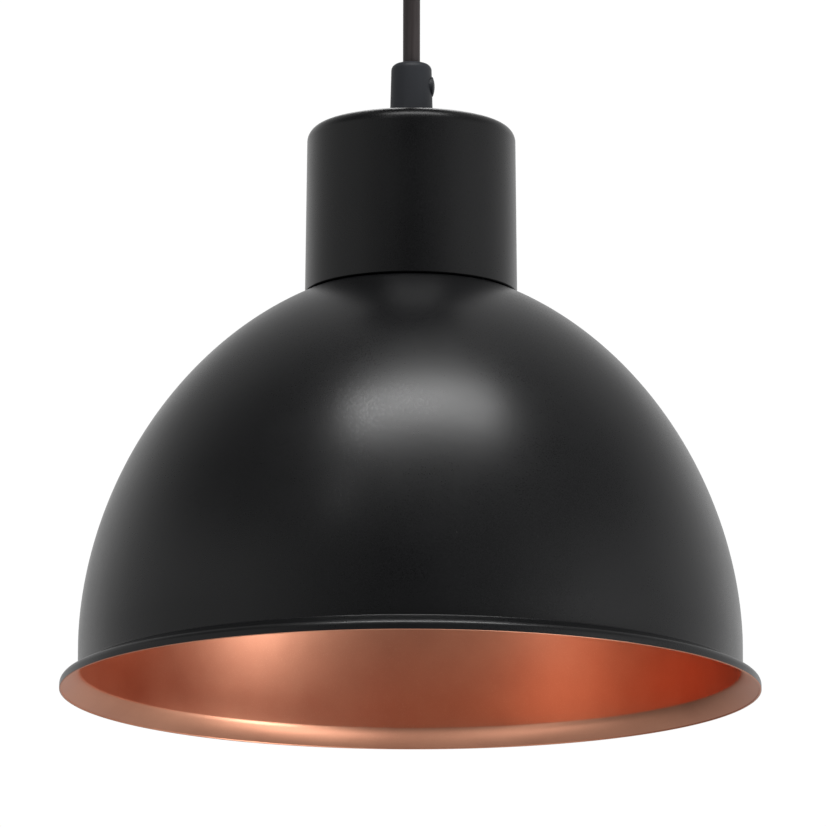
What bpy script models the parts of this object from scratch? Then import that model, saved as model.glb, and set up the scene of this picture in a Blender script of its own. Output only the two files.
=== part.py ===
"""Pendant ceiling light: a spun steel dome on a screw-base lampholder, hung by its cord from a canopy.

Metres, +Z up. The origin is on the ceiling, on the axis that the canopy, cord, lamp and bulb share,
so everything hangs below z = 0. The bulb is fitted, and the lamp hangs straight down.
"""

import math

import bmesh
import bpy
from mathutils import Matrix, Vector

MM = 0.001

# ---------------------------------------------------------------- driving sizes
GAP = 0.3 * MM  # left between pieces that touch

CANOPY_RADIUS = 50 * MM
CANOPY_HEIGHT = 25 * MM
CANOPY_WALL = 0.8 * MM
CANOPY_EDGE_RADIUS = 4.2 * MM
FIXING_SCREW_DROP = 9 * MM  # the side screws' axis, below the ceiling

STRAP_THICKNESS = 1.5 * MM
STRAP_WIDTH = 18 * MM
STRAP_EAR = 14 * MM
STRAP_BEND_RADIUS = 2.5 * MM
SLOT_SPACING = 70 * MM
SLOT_LENGTH = 12 * MM
SLOT_WIDTH = 5 * MM

CORD_RADIUS = 2.6 * MM
CORD_FREE_LENGTH = 80 * MM
CORE_RADIUS = 1.05 * MM
CORE_OFFSET = 1.25 * MM

GRIP_HEIGHT = 20 * MM
GRIP_BASE_RADIUS = 6.6 * MM
GRIP_TIP_RADIUS = 6.15 * MM
GRIP_CORNER_RADIUS = 2 * MM
GRIP_MOUTH_RADIUS = 4.1 * MM
GRIP_MOUTH_DEPTH = 2.4 * MM
SPIGOT_RADIUS = 5 * MM
SPIGOT_LENGTH = 9 * MM
CLAMP_SCREW_DROP = 7 * MM  # its axis, below the grip's tip
CLAMP_HEAD_RADIUS = 3 * MM
CLAMP_HEAD_PROUD = 0.8 * MM
CLAMP_SHANK_RADIUS = 1.6 * MM
CLAMP_SEAT_DEPTH = 1.4 * MM

WASHER_RADIUS = 9 * MM
WASHER_THICKNESS = 0.8 * MM
NUT_ACROSS_FLATS = 14 * MM
NUT_THICKNESS = 3 * MM

BLOCK_LENGTH = 19 * MM
BLOCK_WIDTH = 17 * MM
BLOCK_HEIGHT = 12 * MM
BLOCK_END_X = -7.5 * MM  # the end that faces the cord
POLE_SPACING = 8 * MM
INSERT_RADIUS = 2.3 * MM
INSERT_WALL = 0.9 * MM
TERMINAL_SCREW_RADIUS = 1.4 * MM
TERMINAL_SCREW_LENGTH = 3 * MM
TERMINAL_SCREW_PITCH = 10 * MM

COVER_HEIGHT = 51.4 * MM
COVER_TOP_RADIUS = 31.6 * MM
COVER_FOOT_RADIUS = 32.1 * MM
COVER_EDGE_RADIUS = 4.2 * MM
COVER_WALL = 0.8 * MM

SHADE_RADIUS = 99.6 * MM  # outside of the straight wall
SHADE_CROWN = 115.4 * MM  # from the straight wall's top to where the dome would close
SHADE_POWER = 1.89  # 2 would be an ellipse
SHADE_WALL = 0.7 * MM
SHADE_STRAIGHT = 6.8 * MM
SHADE_TOP_RADIUS = 29.5 * MM  # the flat that the lampholder stands on
FLARE_FILLET = 1.8 * MM
FLARE_ANGLE = math.radians(65)
FLARE_LENGTH = 3.65 * MM
LIP_RADIUS = 2.0 * MM
LIP_DROP = 1.4 * MM  # the rim's upright edge, below its bend

HOLDER_RADIUS = 21.5 * MM
HOLDER_WALL = 2.2 * MM
HOLDER_NECK_RADIUS = 8 * MM
HOLDER_NECK_LENGTH = 3.6 * MM
HOLDER_CAP_HEIGHT = 20.5 * MM
HOLDER_FLANGE_RADIUS = 25 * MM
HOLDER_FLANGE = 2.7 * MM
SKIRT_RADIUS = 19.9 * MM
SKIRT_LENGTH = 17.3 * MM
SKIRT_BORE = 14.9 * MM
INSERT_DISC_THICKNESS = 8 * MM
LINER_RADIUS = 14.5 * MM
LINER_WALL = 0.6 * MM
RING_RADIUS = 28.5 * MM
RING_HEIGHT = 8 * MM

BULB_RADIUS = 30 * MM
BULB_LENGTH = 104 * MM  # from the tip contact to the bottom of the glass
BULB_GLASS = 0.8 * MM
BULB_NECK_RADIUS = 12.3 * MM
BULB_CAP_RADIUS = 13.1 * MM
BULB_CAP_WALL = 0.5 * MM
BULB_CAP_HEIGHT = 22 * MM
CONTACT_RADIUS = 4.8 * MM
CONTACT_HEIGHT = 1.4 * MM
INSULATOR_HEIGHT = 2.6 * MM
FILAMENT_RADIUS = 0.9 * MM
FILAMENT_LENGTH = 32 * MM
FILAMENT_COUNT = 4
FILAMENT_TOP_OFFSET = 5.6 * MM
FILAMENT_FOOT_OFFSET = 9 * MM
STEM_DROP = 48 * MM  # the filaments' top ends, below the tip contact
LEAD_RADIUS = 0.35 * MM

# ---------------------------------------------------------------- heights, from the ceiling down
CANOPY_BASE = -CANOPY_HEIGHT
SWING_PIVOT = CANOPY_BASE - GAP - GRIP_HEIGHT  # the mouth of the canopy's grip
TILT_PIVOT = SWING_PIVOT - CORD_FREE_LENGTH  # the mouth of the lamp's grip
LAMP_TOP = TILT_PIVOT - GRIP_HEIGHT - GAP
COVER_FOOT = LAMP_TOP - COVER_HEIGHT

FINE = 40  # sides of a round piece, by its size
MEDIUM = 24
SMALL = 20
TINY = 12
THREAD_CLEARANCE = 0.3 * MM
BORE_RADIUS = CORD_RADIUS + THREAD_CLEARANCE
SPIGOT_HOLE = SPIGOT_RADIUS + THREAD_CLEARANCE


def dome_height(radius):
    """Height of the dome's outside above its straight wall, where it has this radius."""
    share = 1 - (radius / SHADE_RADIUS) ** SHADE_POWER
    return SHADE_CROWN * share ** (1 / SHADE_POWER)


SHADE_EQUATOR = COVER_FOOT - GAP - dome_height(COVER_FOOT_RADIUS - COVER_WALL)
SHADE_TOP = SHADE_EQUATOR + dome_height(SHADE_TOP_RADIUS)
HOLDER_TOP = LAMP_TOP - COVER_WALL - WASHER_THICKNESS - NUT_THICKNESS - 3 * GAP
CAP_FOOT = HOLDER_TOP - HOLDER_CAP_HEIGHT
FLANGE_FOOT = SHADE_TOP + GAP
SKIRT_FOOT = FLANGE_FOOT - SKIRT_LENGTH
DISC_FOOT = FLANGE_FOOT + HOLDER_FLANGE + 5 * MM
LINER_TOP = DISC_FOOT - 1.5 * MM
BULB_TOP = DISC_FOOT - 3.6 * MM
CAP_TOP = BULB_TOP - CONTACT_HEIGHT - INSULATOR_HEIGHT - 2 * GAP
BULB_FOOT = BULB_TOP - BULB_LENGTH
FILAMENT_TOP = BULB_TOP - STEM_DROP


# ---------------------------------------------------------------- scene and helpers
def start_scene():
    for obj in list(bpy.data.objects):
        bpy.data.objects.remove(obj)
    made = []
    for name in ("pendant_light", "cutters"):
        collection = bpy.data.collections.new(name)
        bpy.context.scene.collection.children.link(collection)
        made.append(collection)
    return made


PARTS, CUTTERS = start_scene()


def material(name, colour, roughness, metallic=0.0, transmission=0.0):
    made = bpy.data.materials.new(name)
    made.use_nodes = True
    shader = made.node_tree.nodes["Principled BSDF"]
    shader.inputs["Base Color"].default_value = (*colour, 1)
    shader.inputs["Roughness"].default_value = roughness
    shader.inputs["Metallic"].default_value = metallic
    shader.inputs["Transmission Weight"].default_value = transmission
    return made


BLACK_PAINT = material("black_paint", (0.018, 0.018, 0.02), 0.45)
BLACK_PLASTIC = material("black_plastic", (0.03, 0.032, 0.037), 0.55)
CORD_SHEATH = material("cord_sheath", (0.035, 0.026, 0.025), 0.6)
ZINC_STEEL = material("zinc_steel", (0.62, 0.62, 0.6), 0.35, 1.0)
BRASS = material("brass", (0.72, 0.52, 0.24), 0.3, 1.0)
NICKEL = material("nickel", (0.7, 0.69, 0.66), 0.25, 1.0)
NYLON = material("white_nylon", (0.8, 0.8, 0.77), 0.5)
STEATITE = material("steatite", (0.82, 0.8, 0.74), 0.6)
BROWN_CORE = material("brown_core", (0.2, 0.08, 0.035), 0.5)
BLUE_CORE = material("blue_core", (0.03, 0.12, 0.42), 0.5)
CLEAR_GLASS = material("clear_glass", (0.95, 0.95, 0.93), 0.02, 0.0, 1.0)
DARK_GLASS = material("dark_glass", (0.02, 0.02, 0.02), 0.15)
PHOSPHOR = material("phosphor", (0.85, 0.55, 0.12), 0.5)


def pivot(name, location):
    """An empty on a joint's axis, which the moving pieces are parented to."""
    empty = bpy.data.objects.new(name, None)
    empty.location = location
    PARTS.objects.link(empty)
    return empty


SWING = pivot("swing_pivot", (0, 0, SWING_PIVOT))
TILT = pivot("tilt_pivot", (0, 0, TILT_PIVOT))
BULB_AXIS = pivot("bulb_axis", (0, 0, BULB_TOP))
bpy.context.view_layer.update()


def place(obj, surface, group=None):
    """Gives a piece its material and its pivot. Its location stays in world coordinates."""
    if surface is not None:
        obj.data.materials.clear()
        obj.data.materials.append(surface)
    if group is not None:
        obj.parent = group
        obj.matrix_parent_inverse = group.matrix_world.inverted()
    return obj


def object_of(name, mesh, collection):
    obj = bpy.data.objects.new(name, mesh)
    collection.objects.link(obj)
    if collection == CUTTERS:
        obj.hide_render = True
        obj.display_type = "WIRE"
    return obj


def outline_mesh(name, points, closed):
    mesh = bpy.data.meshes.new(name)
    edges = [(i, i + 1) for i in range(len(points) - 1)]
    if closed:
        edges.append((len(points) - 1, 0))
    mesh.from_pydata([(r, 0, z) for r, z in points], edges, [])
    return mesh


def turned(name, points, surface, group=None, steps=SMALL, closed=True, wall=None, collection=None):
    """A turned piece. points are (radius, z) down the outer side and, where closed, back up the bore."""
    obj = object_of(name, outline_mesh(name, points, closed), collection or PARTS)
    screw = obj.modifiers.new("turn", "SCREW")
    screw.steps = screw.render_steps = steps
    screw.use_merge_vertices = True
    screw.merge_threshold = 0.00001
    screw.use_smooth_shade = True
    if wall:
        shell = obj.modifiers.new("wall", "SOLIDIFY")
        shell.thickness = wall
        shell.offset = -1
        shell.use_even_offset = True
    return place(obj, surface, group)


def cut(obj, cutter, operation="DIFFERENCE"):
    boolean = obj.modifiers.new(cutter.name, "BOOLEAN")
    boolean.operation = operation
    boolean.object = cutter
    return obj


def rod(name, radius, start, end, surface=None, group=None, steps=SMALL, collection=None):
    """A cylinder from start to end."""
    start, end = Vector(start), Vector(end)
    mesh = bpy.data.meshes.new(name)
    form = bmesh.new()
    bmesh.ops.create_cone(
        form, cap_ends=True, segments=steps, radius1=radius, radius2=radius, depth=(end - start).length
    )
    form.to_mesh(mesh)
    form.free()
    mesh.shade_smooth()
    mesh.set_sharp_from_angle(angle=math.radians(40))
    obj = object_of(name, mesh, collection or PARTS)
    obj.location = (start + end) / 2
    obj.rotation_mode = "QUATERNION"
    obj.rotation_quaternion = (end - start).to_track_quat("Z", "Y")
    return place(obj, surface, group)


def block(name, low, high, surface=None, group=None, collection=None, bevel=0.0):
    """A box between two corners."""
    low, high = Vector(low), Vector(high)
    mesh = bpy.data.meshes.new(name)
    form = bmesh.new()
    bmesh.ops.create_cube(form, size=1)
    bmesh.ops.scale(form, vec=high - low, verts=form.verts)
    form.to_mesh(mesh)
    form.free()
    obj = object_of(name, mesh, collection or PARTS)
    obj.location = (low + high) / 2
    if bevel:
        rounding = obj.modifiers.new("edges", "BEVEL")
        rounding.width = bevel
        rounding.segments = 2
    return place(obj, surface, group)


def wire(name, points, radius, surface, group=None, radii=None, sides=2):
    """A round wire along points. radii scale its radius at each point."""
    curve = bpy.data.curves.new(name, "CURVE")
    curve.dimensions = "3D"
    curve.bevel_depth = radius
    curve.bevel_resolution = sides
    curve.use_fill_caps = True
    spline = curve.splines.new("POLY")
    spline.points.add(len(points) - 1)
    for i, point in enumerate(points):
        spline.points[i].co = (*point, 1)
        spline.points[i].radius = radii[i] if radii else 1.0
    return place(object_of(name, curve, PARTS), surface, group)


def arc(centre, radius, start, end, count):
    """(r, z) points on an arc, from the start angle to the end angle, in degrees from +r towards +z."""
    angles = [math.radians(start + (end - start) * i / count) for i in range(count + 1)]
    return [(centre[0] + radius * math.cos(a), centre[1] + radius * math.sin(a)) for a in angles]


def smooth(points, count):
    """count points on a Catmull-Rom curve through the given points."""
    ends = [2 * points[0] - points[1], *points, 2 * points[-1] - points[-2]]
    made = []
    for k in range(count):
        at = (len(points) - 1) * k / (count - 1)
        i = min(int(at), len(points) - 2)
        t = at - i
        a, b, c, d = ends[i : i + 4]
        square = 2 * a - 5 * b + 4 * c - d
        cube = 3 * b - a - 3 * c + d
        made.append(0.5 * (2 * b + (c - a) * t + square * t**2 + cube * t**3))
    return made


def slotted_screw(name, head, shank, surface, group=None, slot=0.8 * MM, dome=0.0):
    """A screw along its own +Z, with its head's underside at z = 0. head and shank are (radius, length)."""
    angles = [math.radians(degrees) for degrees in (0, 30, 60)]
    rise = [(head[0] * math.sin(a), head[1] + dome * math.cos(a)) for a in angles]
    outline = [
        *(rise if dome else [(0, head[1])]),
        (head[0], head[1]),
        (head[0], 0),
        (shank[0], 0),
        (shank[0], -shank[1]),
        (0, -shank[1]),
    ]
    obj = turned(name, outline, surface, group, steps=TINY, closed=False)
    reach = head[0] + MM
    depth = (head[1] + dome) * 0.45
    groove = block(
        name + "_groove",
        (-reach, -slot / 2, head[1] + dome - depth),
        (reach, slot / 2, head[1] + dome + MM),
        collection=CUTTERS,
    )
    groove.parent = obj
    return cut(obj, groove)


def point_along(obj, location, direction):
    """Puts a piece's own origin at location with its own +Z along direction."""
    obj.location = location
    obj.rotation_mode = "QUATERNION"
    obj.rotation_quaternion = Vector(direction).to_track_quat("Z", "Y")
    return obj


# ---------------------------------------------------------------- pieces used at both ends of the cord
def cord_grip(name, seat, up, group=None):
    """A tapered cord grip with a threaded spigot, standing on the height seat and pointing up or down."""
    tip = GRIP_HEIGHT
    corner_centre = (GRIP_TIP_RADIUS - GRIP_CORNER_RADIUS, tip - GRIP_CORNER_RADIUS)
    corner = arc(corner_centre, GRIP_CORNER_RADIUS, 90, 0, 3)
    bell = GRIP_MOUTH_RADIUS - BORE_RADIUS
    mouth = [
        (BORE_RADIUS + bell * (1 - math.cos(a)), tip - GRIP_MOUTH_DEPTH * (1 - math.sin(a)))
        for a in (math.radians(degrees) for degrees in (0, 30, 60, 90))
    ]
    outline = [
        *corner,
        (GRIP_BASE_RADIUS, 0),
        (SPIGOT_RADIUS, 0),
        (SPIGOT_RADIUS, -SPIGOT_LENGTH),
        (BORE_RADIUS, -SPIGOT_LENGTH),
        *mouth,
    ]
    grip = turned(name, outline, BLACK_PLASTIC, group)
    level = tip - CLAMP_SCREW_DROP
    seat_x = clamp_seat()
    far = GRIP_BASE_RADIUS + MM
    clearance = THREAD_CLEARANCE
    for label, radius, near in (
        ("_clamp_hole", CLAMP_SHANK_RADIUS + clearance, 0.0),
        ("_clamp_seat", CLAMP_HEAD_RADIUS + clearance, seat_x),
    ):
        ends = ((near, 0, level), (far, 0, level))
        hole = rod(name + label, radius, *ends, steps=16, collection=CUTTERS)
        hole.parent = grip
        cut(grip, hole)
    grip.location = (0, 0, seat)
    if not up:
        grip.rotation_euler = (math.pi, 0, 0)
    return grip


def grip_radius(level):
    """The grip's outside radius at a height above its seat."""
    share = level / (GRIP_HEIGHT - GRIP_CORNER_RADIUS)
    return GRIP_BASE_RADIUS + (GRIP_TIP_RADIUS - GRIP_BASE_RADIUS) * share


def clamp_seat():
    """How far from the grip's axis its clamp screw's pocket starts."""
    return grip_radius(GRIP_HEIGHT - CLAMP_SCREW_DROP) - CLAMP_SEAT_DEPTH


def clamp_screw(name, seat, up, group=None):
    """The cord grip's clamp screw, on its +X side, with a domed head that stands a little proud."""
    side = 1 if up else -1
    under_head = clamp_seat() + GAP
    dome = 0.5 * MM
    head = CLAMP_SEAT_DEPTH + CLAMP_HEAD_PROUD - GAP - dome
    shank = under_head - BORE_RADIUS
    sizes = ((CLAMP_HEAD_RADIUS, head), (CLAMP_SHANK_RADIUS, shank))
    screw = slotted_screw(name, *sizes, BLACK_PLASTIC, group, dome=dome)
    return point_along(screw, (under_head, 0, seat + side * (GRIP_HEIGHT - CLAMP_SCREW_DROP)), (1, 0, 0))


def washer_and_nut(prefix, face, up, group=None):
    """A washer and a hexagon nut on a grip's spigot, against the face that the spigot comes through."""
    side = 1 if up else -1
    low = face + side * GAP
    high = low + side * WASHER_THICKNESS
    top, foot = max(low, high), min(low, high)
    turned(
        prefix + "_washer",
        [(WASHER_RADIUS, top), (WASHER_RADIUS, foot), (SPIGOT_HOLE, foot), (SPIGOT_HOLE, top)],
        ZINC_STEEL,
        group,
    )
    start = high + side * GAP
    end = start + side * NUT_THICKNESS
    corner_radius = NUT_ACROSS_FLATS / math.sqrt(3)
    nut = rod(prefix + "_nut", corner_radius, (0, 0, start), (0, 0, end), ZINC_STEEL, group, steps=6)
    through = ((0, 0, start - side * MM), (0, 0, end + side * MM))
    return cut(nut, rod(prefix + "_nut_hole", SPIGOT_HOLE, *through, collection=CUTTERS))


# ---------------------------------------------------------------- ceiling side
def hole_through(obj, name, radius, start, end):
    return cut(obj, rod(name, radius, start, end, steps=TINY, collection=CUTTERS))


def canopy():
    """The steel cup against the ceiling."""
    edge = CANOPY_EDGE_RADIUS
    corner = arc((CANOPY_RADIUS - edge, CANOPY_BASE + edge), edge, 0, -90, 4)
    shell = turned(
        "canopy",
        [(CANOPY_RADIUS, 0), *corner, (SPIGOT_HOLE, CANOPY_BASE)],
        BLACK_PAINT,
        steps=FINE,
        closed=False,
        wall=CANOPY_WALL,
    )
    for side, label in ((-1, "left"), (1, "right")):
        hole_through(
            shell,
            f"canopy_{label}_hole",
            SIDE_SCREW_RADIUS + THREAD_CLEARANCE,
            (side * (CANOPY_RADIUS - 3 * MM), 0, -FIXING_SCREW_DROP),
            (side * (CANOPY_RADIUS + 2 * MM), 0, -FIXING_SCREW_DROP),
        )
    return shell


SIDE_SCREW_RADIUS = 2 * MM
SIDE_HEAD = (3.6 * MM, 1.9 * MM)
SIDE_SCREW_LENGTH = 7 * MM
EAR_X = CANOPY_RADIUS - CANOPY_WALL - 1.5 * MM  # the outer face of the strap's ears


def mounting_strap():
    """The bent steel strap that is screwed to the ceiling and carries everything."""
    bend = STRAP_BEND_RADIUS
    right = [
        *[(x, z) for x, z in arc((EAR_X - bend, -bend), bend, 90, 0, 4)],
        (EAR_X, -STRAP_EAR),
    ]
    path = [(-x, z) for x, z in reversed(right)] + right
    half = STRAP_WIDTH / 2
    mesh = bpy.data.meshes.new("mounting_strap")
    points = [(x, y, z) for x, z in path for y in (-half, half)]
    faces = [(2 * i, 2 * i + 2, 2 * i + 3, 2 * i + 1) for i in range(len(path) - 1)]
    mesh.from_pydata(points, [], faces)
    strap = object_of("mounting_strap", mesh, PARTS)
    sheet = strap.modifiers.new("sheet", "SOLIDIFY")
    sheet.thickness = STRAP_THICKNESS
    sheet.offset = -1
    sheet.use_even_offset = True
    for side, label in ((-1, "left"), (1, "right")):
        hole_through(
            strap,
            f"strap_{label}_ear_hole",
            SIDE_SCREW_RADIUS + THREAD_CLEARANCE,
            (side * (EAR_X - 4 * MM), 0, -FIXING_SCREW_DROP),
            (side * (EAR_X + 2 * MM), 0, -FIXING_SCREW_DROP),
        )
        centre = side * SLOT_SPACING / 2
        straight = (SLOT_LENGTH - SLOT_WIDTH) / 2
        slot = block(
            f"strap_{label}_slot",
            (centre - straight, -SLOT_WIDTH / 2, -3 * MM),
            (centre + straight, SLOT_WIDTH / 2, MM),
            collection=CUTTERS,
        )
        cut(strap, slot)
        for end in (-1, 1):
            x = centre + end * straight
            ends = ((x, 0, -4 * MM), (x, 0, 2 * MM))
            hole_through(strap, f"strap_{label}_slot_end_{end}", SLOT_WIDTH / 2, *ends)
    x = block_centre().x
    hole_through(strap, "strap_block_hole", BLOCK_SCREW[0] + THREAD_CLEARANCE, (x, 0, -3 * MM), (x, 0, MM))
    return place(strap, ZINC_STEEL)


BLOCK_TOP = -STRAP_THICKNESS - GAP
BLOCK_SCREW = (1.5 * MM, 11 * MM)
BLOCK_SCREW_HEAD = (2.1 * MM, 1.6 * MM)
POLE_Z = BLOCK_TOP - 6 * MM
BLOCK_SCREW_RECESS = 2.5 * MM


def block_centre():
    return Vector((BLOCK_END_X - BLOCK_LENGTH / 2, 0, BLOCK_TOP - BLOCK_HEIGHT / 2))


def terminal_block():
    """The two-pole terminal block under the strap, its brass inserts and its screws."""
    centre = block_centre()
    half = Vector((BLOCK_LENGTH, BLOCK_WIDTH, BLOCK_HEIGHT)) / 2
    housing = block("terminal_block", centre - half, centre + half, NYLON, bevel=0.5 * MM)
    floor = BLOCK_TOP - BLOCK_HEIGHT
    past = MM
    for pole, side in ((1, -1), (2, 1)):
        y = side * POLE_SPACING / 2
        ends = [(centre.x + d * (half.x + past), y, POLE_Z) for d in (-1, 1)]
        hole_through(housing, f"block_bore_{pole}", INSERT_RADIUS + THREAD_CLEARANCE, *ends)
        insert = rod(
            f"terminal_insert_{pole}",
            INSERT_RADIUS,
            (centre.x - half.x + past, y, POLE_Z),
            (centre.x + half.x - past, y, POLE_Z),
            BRASS,
            steps=16,
        )
        hole_through(insert, f"insert_bore_{pole}", INSERT_RADIUS - INSERT_WALL, *ends)
        for row, offset in ((1, -1), (2, 1)):
            x = centre.x + offset * TERMINAL_SCREW_PITCH / 2
            top = POLE_Z - INSERT_RADIUS - GAP
            hole_through(
                housing,
                f"block_screw_hole_{pole}_{row}",
                TERMINAL_SCREW_RADIUS + THREAD_CLEARANCE,
                (x, y, POLE_Z),
                (x, y, floor - past),
            )
            screw = slotted_screw(
                f"terminal_screw_{2 * (pole - 1) + row}",
                (TERMINAL_SCREW_RADIUS, TERMINAL_SCREW_LENGTH / 2),
                (TERMINAL_SCREW_RADIUS - 0.2 * MM, TERMINAL_SCREW_LENGTH / 2),
                BRASS,
                slot=0.5 * MM,
            )
            point_along(screw, (x, y, top - TERMINAL_SCREW_LENGTH / 2), (0, 0, -1))
    seat = floor + BLOCK_SCREW_RECESS
    below = (centre.x, 0, floor - past)
    bore = BLOCK_SCREW[0] + THREAD_CLEARANCE
    recess = BLOCK_SCREW_HEAD[0] + THREAD_CLEARANCE
    hole_through(housing, "block_fixing_hole", bore, (centre.x, 0, 0), below)
    hole_through(housing, "block_fixing_recess", recess, (centre.x, 0, seat), below)
    screw = slotted_screw("block_fixing_screw", BLOCK_SCREW_HEAD, BLOCK_SCREW, ZINC_STEEL, slot=0.6 * MM)
    point_along(screw, (centre.x, 0, seat - GAP), (0, 0, -1))
    return housing


def canopy_screws():
    for side, label in ((-1, "left"), (1, "right")):
        shank = (SIDE_SCREW_RADIUS, SIDE_SCREW_LENGTH)
        screw = slotted_screw(f"canopy_screw_{label}", SIDE_HEAD, shank, NICKEL, dome=0.6 * MM)
        point_along(screw, (side * (CANOPY_RADIUS + GAP), 0, -FIXING_SCREW_DROP), (side, 0, 0))


CANOPY_SHEATH_END = CANOPY_BASE + SPIGOT_LENGTH + 1.6 * MM


def canopy_wiring():
    """The cord's sheath inside the canopy's grip, and its two cores up to the terminal block."""
    low = SWING_PIVOT + CORD_RADIUS + GAP
    rod("canopy_cord_tail", CORD_RADIUS, (0, 0, low), (0, 0, CANOPY_SHEATH_END), CORD_SHEATH)
    start = CANOPY_SHEATH_END + GAP
    for label, side, surface in (("brown", -1, BROWN_CORE), ("blue", 1, BLUE_CORE)):
        y = side * POLE_SPACING / 2
        route = [
            Vector((0, side * CORE_OFFSET, start)),
            Vector((0, side * CORE_OFFSET, start + 1.2 * MM)),
            Vector((-0.8 * MM, side * (CORE_OFFSET + 0.8 * MM), start + 3.6 * MM)),
            Vector((-3.4 * MM, side * (CORE_OFFSET + 2.2 * MM), POLE_Z - 0.3 * MM)),
            Vector((BLOCK_END_X, y, POLE_Z)),
            Vector((BLOCK_END_X - 4.5 * MM, y, POLE_Z)),
        ]
        wire(f"canopy_core_{label}", smooth(route, 17), CORE_RADIUS, surface)


# ---------------------------------------------------------------- the cord between the two grips
def suspension_cord():
    """The cord's free stretch. Its round ends are centred on the pivots, so it can turn in both mouths."""
    ends = [math.radians(degrees) for degrees in (0, 35, 60, 80)]
    foot = [(TILT_PIVOT - CORD_RADIUS * math.sin(a), math.cos(a)) for a in ends]
    top = [(SWING_PIVOT + CORD_RADIUS * math.sin(a), math.cos(a)) for a in reversed(ends)]
    count = 7
    middle = [(SWING_PIVOT - CORD_FREE_LENGTH * (i + 1) / (count + 1), 1.0) for i in range(count)]
    stations = [*top, *middle, *foot]
    return wire(
        "suspension_cord",
        [(0, 0, z) for z, _ in stations],
        CORD_RADIUS,
        CORD_SHEATH,
        SWING,
        radii=[share for _, share in stations],
        sides=4,
    )


# ---------------------------------------------------------------- lamp side
def cover():
    """The steel cup over the lampholder."""
    edge = COVER_EDGE_RADIUS
    corner = arc((COVER_TOP_RADIUS - edge, LAMP_TOP - edge), edge, 90, 0, 4)
    outline = [(SPIGOT_HOLE, LAMP_TOP), *corner, (COVER_FOOT_RADIUS, COVER_FOOT)]
    return turned("lampholder_cover", outline, BLACK_PAINT, TILT, steps=FINE, closed=False, wall=COVER_WALL)


def flare(start):
    """(r, z) points of the rim's outside: out through a fillet, along a slope, round a bend and straight down."""
    r, z = start
    made = []
    steps = 3
    for i in range(1, steps + 1):
        a = FLARE_ANGLE * i / steps
        made.append((r + FLARE_FILLET * (1 - math.cos(a)), z - FLARE_FILLET * math.sin(a)))
    r, z = made[-1]
    r += FLARE_LENGTH * math.sin(FLARE_ANGLE)
    z -= FLARE_LENGTH * math.cos(FLARE_ANGLE)
    steps = 4
    for i in range(steps + 1):
        a = FLARE_ANGLE * (1 - i / steps)
        made.append(
            (
                r + LIP_RADIUS * (math.cos(a) - math.cos(FLARE_ANGLE)),
                z - LIP_RADIUS * (math.sin(FLARE_ANGLE) - math.sin(a)),
            )
        )
    r, z = made[-1]
    return [*made, (r, z - LIP_DROP)]


def shade():
    """The spun steel dome, from the hole that the lampholder passes through to the flared rim."""
    count = 10
    dome = []
    for i in range(count + 1):
        share = math.sin(math.pi / 2 * i / count)
        radius = SHADE_TOP_RADIUS + (SHADE_RADIUS - SHADE_TOP_RADIUS) * share
        dome.append((radius, SHADE_EQUATOR + dome_height(radius)))
    foot = SHADE_EQUATOR - SHADE_STRAIGHT
    outline = [
        (SKIRT_RADIUS + THREAD_CLEARANCE, SHADE_TOP),
        *dome,
        (SHADE_RADIUS, foot),
        *flare((SHADE_RADIUS, foot)),
    ]
    return turned("shade", outline, BLACK_PAINT, TILT, steps=FINE, closed=False, wall=SHADE_WALL)


def holder_cap():
    """The lampholder's domed cap, screwed onto the grip's spigot."""
    shoulder = HOLDER_TOP - HOLDER_NECK_LENGTH
    drop = 6 * MM
    span = HOLDER_RADIUS - HOLDER_NECK_RADIUS
    outer = [
        (HOLDER_NECK_RADIUS + span * math.sin(a), shoulder - drop * (1 - math.cos(a)))
        for a in (math.radians(degrees) for degrees in (0, 30, 60, 90))
    ]
    bore = HOLDER_RADIUS - HOLDER_WALL
    inner_span = bore - HOLDER_NECK_RADIUS
    inner = [
        (HOLDER_NECK_RADIUS + inner_span * math.sin(a), shoulder - HOLDER_WALL - drop * (1 - math.cos(a)))
        for a in (math.radians(degrees) for degrees in (90, 60, 30, 0))
    ]
    outline = [
        (HOLDER_NECK_RADIUS, HOLDER_TOP),
        *outer,
        (HOLDER_RADIUS, CAP_FOOT),
        (bore, CAP_FOOT),
        *inner,
        (SPIGOT_HOLE, shoulder - HOLDER_WALL),
        (SPIGOT_HOLE, HOLDER_TOP),
    ]
    return turned("lampholder_cap", outline, BLACK_PLASTIC, TILT, steps=MEDIUM)


def holder_body():
    """The lampholder's body: a cylinder, the flange that stands on the shade, and the threaded skirt."""
    top = CAP_FOOT - GAP
    chamber = HOLDER_RADIUS - HOLDER_WALL
    shelf = DISC_FOOT - GAP
    flange_top = FLANGE_FOOT + HOLDER_FLANGE
    outline = [
        (HOLDER_RADIUS, top),
        (HOLDER_RADIUS, flange_top),
        (HOLDER_FLANGE_RADIUS, flange_top),
        (HOLDER_FLANGE_RADIUS, FLANGE_FOOT),
        (SKIRT_RADIUS, FLANGE_FOOT),
        (SKIRT_RADIUS, SKIRT_FOOT),
        (SKIRT_BORE, SKIRT_FOOT),
        (SKIRT_BORE, shelf),
        (chamber, shelf),
        (chamber, top),
    ]
    return turned("lampholder_body", outline, BLACK_PLASTIC, TILT, steps=MEDIUM)


def holder_liner():
    """The screw shell that the bulb's cap turns in."""
    bore = LINER_RADIUS - LINER_WALL
    foot = SKIRT_FOOT + 0.6 * MM
    outline = [(LINER_RADIUS, LINER_TOP), (LINER_RADIUS, foot), (bore, foot), (bore, LINER_TOP)]
    return turned("screw_liner", outline, BRASS, TILT, steps=MEDIUM)


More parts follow.
